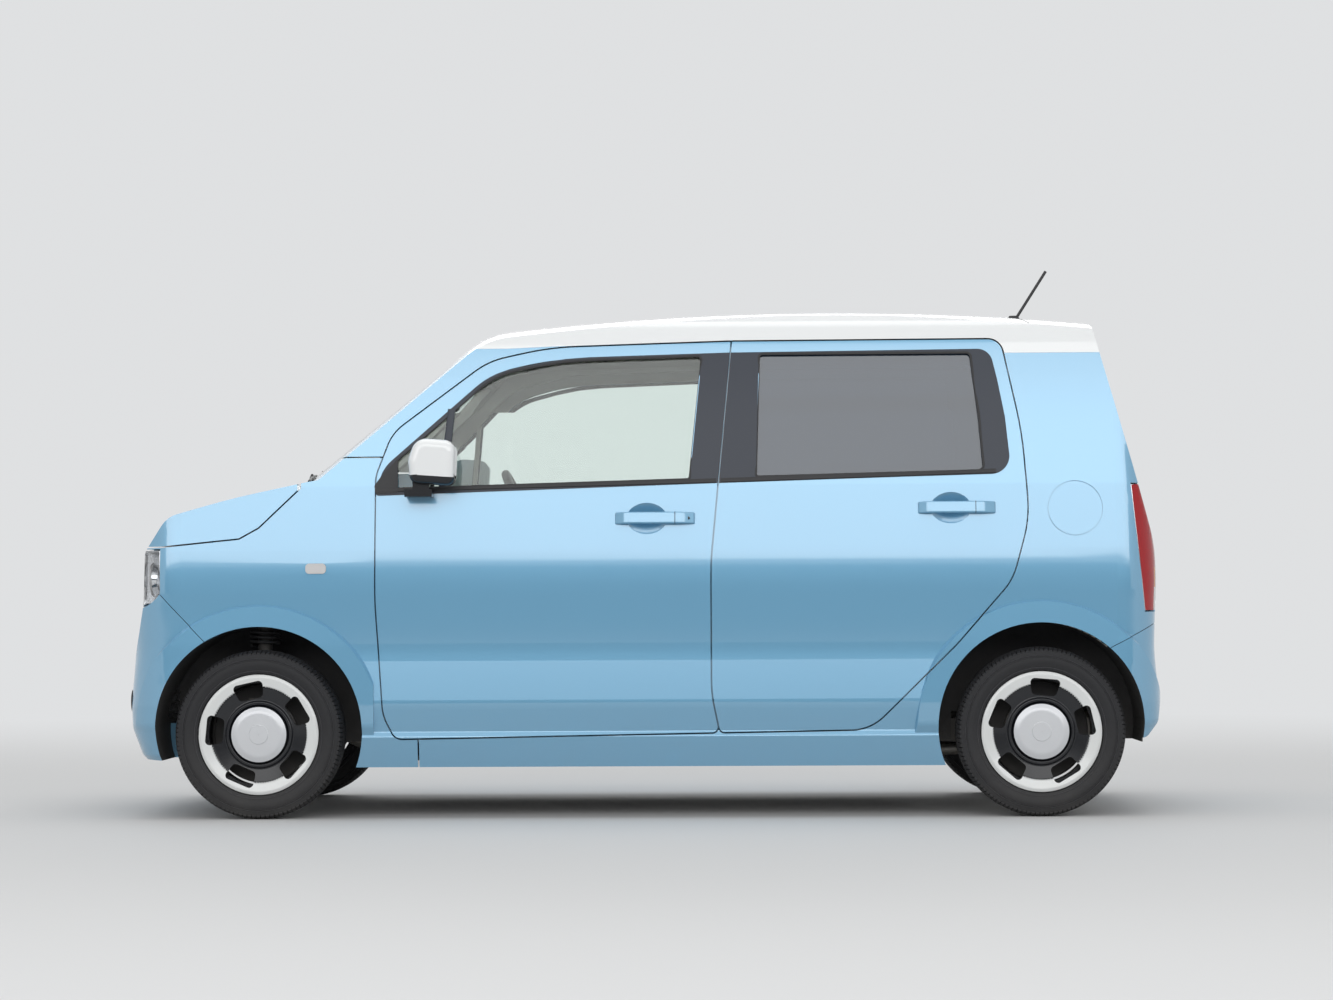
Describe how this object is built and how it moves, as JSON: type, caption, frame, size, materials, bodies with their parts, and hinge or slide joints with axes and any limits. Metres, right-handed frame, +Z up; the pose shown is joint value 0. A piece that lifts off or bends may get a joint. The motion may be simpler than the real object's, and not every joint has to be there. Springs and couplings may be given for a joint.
{
  "type": "kei car",
  "caption": "Small upright hatchback car with a white roof, hinged doors, bonnet and tailgate, steered front wheels and rolling tyres.",
  "frame": {"origin": "on the ground under the middle of the body", "axes": "+X forward, +Y to the car's left, +Z up"},
  "size_m": [3.3906, 1.7, 1.8256],
  "materials": {
    "paint": "gloss",
    "roof_paint": "gloss",
    "plastic": "matte",
    "clear_lens": "polished",
    "red_lens": "gloss",
    "glass": "polished",
    "privacy_glass": "polished",
    "underbody": "satin",
    "upholstery": "woven",
    "alloy": "cast",
    "steel": "dull",
    "cast": "rough",
    "tyre": "matte",
    "wheel_paint": "gloss"
  },
  "bodies": {
    "root": {"body_sides": "paint", "roof_panel": "roof_paint", "front_fenders": "paint", "front_bumper": "paint", "rear_bumper": "paint", "grille": "plastic", "headlamps": "clear_lens", "tail_lamps": "red_lens", "windscreen": "glass", "cowl": "plastic", "floor_pan": "underbody", "front_frame": "underbody", "wheel_liners_front": "underbody", "wheel_liners_rear": "underbody", "dashboard": "plastic", "front_seats": "upholstery", "rear_seat": "upholstery", "steering_column": "plastic", "engine_block": "alloy", "radiator": "alloy", "exhaust": "steel", "fuel_tank": "underbody", "front_subframe": "cast", "rear_axle": "cast", "turn_markers": "clear_lens", "aerial": "plastic"},
    "bonnet": {"bonnet": "paint"},
    "tailgate": {"tailgate": "paint", "tailgate_glass": "privacy_glass"},
    "fuel_lid": {"fuel_lid": "paint"},
    "steering_wheel": {"steering_wheel": "plastic"},
    "front_door_left": {"front_door_left": "paint", "front_glass_left": "glass", "front_handle_left": "paint", "mirror_left": "roof_paint"},
    "rear_door_left": {"rear_door_left": "paint", "rear_glass_left": "privacy_glass", "rear_handle_left": "paint"},
    "knuckle_left": {"knuckle_left": "cast"},
    "wheel_front_left": {"tyre_front_left": "tyre", "rim_front_left": "wheel_paint"},
    "wheel_rear_left": {"tyre_rear_left": "tyre", "rim_rear_left": "wheel_paint"},
    "front_door_right": {"front_door_right": "paint", "front_glass_right": "glass", "front_handle_right": "paint", "mirror_right": "roof_paint"},
    "rear_door_right": {"rear_door_right": "paint", "rear_glass_right": "privacy_glass", "rear_handle_right": "paint"},
    "knuckle_right": {"knuckle_right": "cast"},
    "wheel_front_right": {"tyre_front_right": "tyre", "rim_front_right": "wheel_paint"},
    "wheel_rear_right": {"tyre_rear_right": "tyre", "rim_rear_right": "wheel_paint"}
  },
  "joints": [
    {"name": "bonnet_hinge", "type": "hinge", "parent": "root", "child": "bonnet", "pos_m": [1.1, 0, 1.072], "axis": [0, -1, 0], "range_deg": [0, 55]},
    {"name": "tailgate_hinge", "type": "hinge", "parent": "root", "child": "tailgate", "pos_m": [-1.513, 0, 1.497], "axis": [0, 1, 0], "range_deg": [0, 85]},
    {"name": "fuel_lid_hinge", "type": "hinge", "parent": "root", "child": "fuel_lid", "pos_m": [-1.306, 0.722, 0.99], "axis": [0, 0, -1], "range_deg": [0, 90]},
    {"name": "front_door_left_hinge", "type": "hinge", "parent": "root", "child": "front_door_left", "pos_m": [0.852, 0.74, 0.65], "axis": [0, 0, -1], "range_deg": [0, 65]},
    {"name": "rear_door_left_hinge", "type": "hinge", "parent": "root", "child": "rear_door_left", "pos_m": [-0.232, 0.74, 0.65], "axis": [0, 0, -1], "range_deg": [0, 75]},
    {"name": "steer_left", "type": "hinge", "parent": "root", "child": "knuckle_left", "pos_m": [1.2405, 0.545, 0.272], "axis": [0, 0, 1], "range_deg": [-35, 35]},
    {"name": "wheel_front_left_spin", "type": "hinge", "parent": "knuckle_left", "child": "wheel_front_left", "pos_m": [1.2405, 0.652, 0.272], "axis": [0, 1, 0], "continuous": true},
    {"name": "wheel_rear_left_spin", "type": "hinge", "parent": "root", "child": "wheel_rear_left", "pos_m": [-1.2795, 0.652, 0.272], "axis": [0, 1, 0], "continuous": true},
    {"name": "front_door_right_hinge", "type": "hinge", "parent": "root", "child": "front_door_right", "pos_m": [0.852, -0.74, 0.65], "axis": [0, 0, 1], "range_deg": [0, 65]},
    {"name": "rear_door_right_hinge", "type": "hinge", "parent": "root", "child": "rear_door_right", "pos_m": [-0.232, -0.74, 0.65], "axis": [0, 0, 1], "range_deg": [0, 75]},
    {"name": "steer_right", "type": "hinge", "parent": "root", "child": "knuckle_right", "pos_m": [1.2405, -0.545, 0.272], "axis": [0, 0, 1], "range_deg": [-35, 35]},
    {"name": "wheel_front_right_spin", "type": "hinge", "parent": "knuckle_right", "child": "wheel_front_right", "pos_m": [1.2405, -0.652, 0.272], "axis": [0, 1, 0], "continuous": true},
    {"name": "wheel_rear_right_spin", "type": "hinge", "parent": "root", "child": "wheel_rear_right", "pos_m": [-1.2795, -0.652, 0.272], "axis": [0, 1, 0], "continuous": true},
    {"name": "steering_wheel_turn", "type": "hinge", "parent": "root", "child": "steering_wheel", "pos_m": [0.43, -0.34, 0.985], "axis": [-0.9063, 0, 0.4226], "range_deg": [-525, 525]}
  ],
  "couplings": [
    {"joint": "steer_right", "follows": "steer_left", "ratio": 1},
    {"joint": "steering_wheel_turn", "follows": "steer_left", "ratio": 15}
  ]
}
